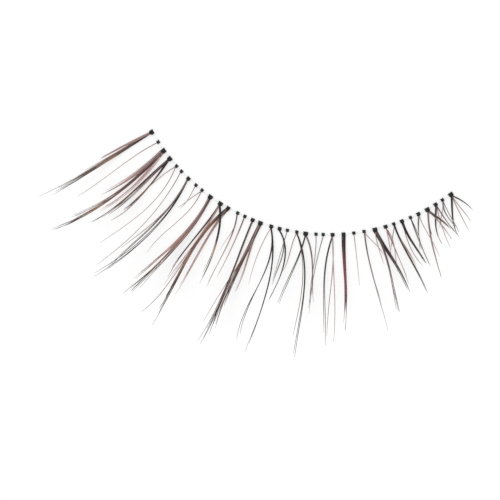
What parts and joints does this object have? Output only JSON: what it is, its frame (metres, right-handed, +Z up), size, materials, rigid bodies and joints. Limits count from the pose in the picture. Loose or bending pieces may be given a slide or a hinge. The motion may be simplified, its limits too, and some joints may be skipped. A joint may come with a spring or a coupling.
{
  "type": "false eyelash strip",
  "caption": "Strip of false eyelashes: a curved clear thread with small hair tufts knotted along it, longest at the outer corner and curled upwards.",
  "frame": {"origin": "middle of the flat underside of the middle knot, on the surface that the strip rests on", "axes": "+X along the strip from the outer corner of the eye to the inner one, -Y the way the lashes point, +Z up, the way they curl"},
  "size_m": [0.0391, 0.0183, 0.0056],
  "materials": {
    "clear_thread": "clear nylon thread, nearly invisible on white",
    "hair_black": "satin black hair that fades to fine grey tips",
    "hair_brown": "satin dark brown hair, black at the knot, with fine grey tips",
    "hair_auburn": "satin auburn hair, black at the knot, with fine grey tips",
    "hair_plum": "satin purple-brown hair, black at the knot",
    "hair_fawn": "very fine pale fawn hair, dark at the knot",
    "hair_grey": "very fine grey hair, dark at the knot"
  },
  "bodies": {
    "root": {"band": "clear_thread", "lash_lock_01": "hair_brown", "lash_lock_02": "hair_fawn", "lash_lock_03": "hair_auburn", "lash_lock_04": "hair_brown", "lash_lock_05": "hair_fawn", "lash_lock_06": "hair_fawn", "lash_lock_07": "hair_black", "lash_lock_08": "hair_fawn", "lash_lock_09": "hair_fawn", "lash_lock_10": "hair_auburn", "lash_lock_11": "hair_black", "lash_lock_12": "hair_auburn", "lash_lock_13": "hair_fawn", "lash_lock_14": "hair_fawn", "lash_lock_15": "hair_black", "lash_lock_16": "hair_brown", "lash_lock_17": "hair_black", "lash_lock_18": "hair_black", "lash_lock_19": "hair_grey", "lash_lock_20": "hair_black", "lash_lock_21": "hair_black", "lash_lock_22": "hair_grey", "lash_lock_23": "hair_grey", "lash_lock_24": "hair_black", "lash_lock_25": "hair_plum", "lash_lock_26": "hair_fawn", "lash_lock_27": "hair_grey", "lash_lock_28": "hair_black", "lash_lock_29": "hair_black", "lash_lock_30": "hair_black", "lash_lock_31": "hair_black", "lash_lock_32": "hair_grey", "lash_lock_33": "hair_grey", "lash_lock_34": "hair_black", "lash_lock_35": "hair_black", "lash_lock_36": "hair_grey", "lash_lock_37": "hair_black"}
  },
  "joints": []
}
